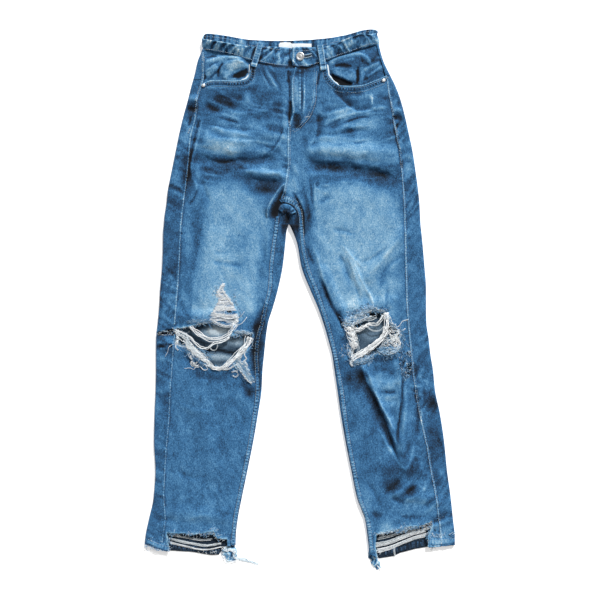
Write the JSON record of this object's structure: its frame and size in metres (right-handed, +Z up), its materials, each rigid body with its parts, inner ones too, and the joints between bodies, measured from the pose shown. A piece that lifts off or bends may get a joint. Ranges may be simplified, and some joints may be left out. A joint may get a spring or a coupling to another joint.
{
  "type": "ripped jeans",
  "caption": "Straight-leg ankle jeans laid flat front up, knees and hems torn open with cross threads, curved front pockets, fly, waistband and belt loops.",
  "frame": {"origin": "middle of the laid garment, on the surface it rests on", "axes": "+Y towards the waist, +X towards the wearer's left leg, +Z up out of the front side"},
  "size_m": [0.5898, 1.0302, 0.0204],
  "materials": {
    "denim": "stone-washed indigo twill",
    "denim_inner": "unwashed indigo twill",
    "pocket_cotton": "plain white cotton",
    "zip_tape": "woven tape with closed metal teeth",
    "metal": "silver-coloured, worn",
    "label_tape": "blank white woven tape",
    "thread": "loose white weft threads"
  },
  "bodies": {
    "root": {"front_right": "denim", "front_left": "denim", "back_right": "denim", "back_left": "denim", "yoke_right": "denim", "yoke_left": "denim", "waistband": "denim", "belt_loop_front_right": "denim", "belt_loop_front_left": "denim", "belt_loop_side_right": "denim", "belt_loop_side_left": "denim", "belt_loop_back": "denim", "pocket_facing_right": "denim_inner", "pocket_facing_left": "denim_inner", "pocket_bag_right": "pocket_cotton", "pocket_bag_left": "pocket_cotton", "back_pocket_right": "denim", "back_pocket_left": "denim", "fly_facing": "denim_inner", "fly_shield": "denim_inner", "fly_zip": "zip_tape", "zip_slider": "metal", "button": "metal", "rivet_right": "metal", "rivet_left": "metal", "waist_label": "label_tape", "knee_threads_right": "thread", "knee_threads_left": "thread", "hem_threads_right": "thread", "hem_threads_left": "thread", "hem_tail_right": "thread", "hem_tail_left": "thread"}
  },
  "joints": []
}
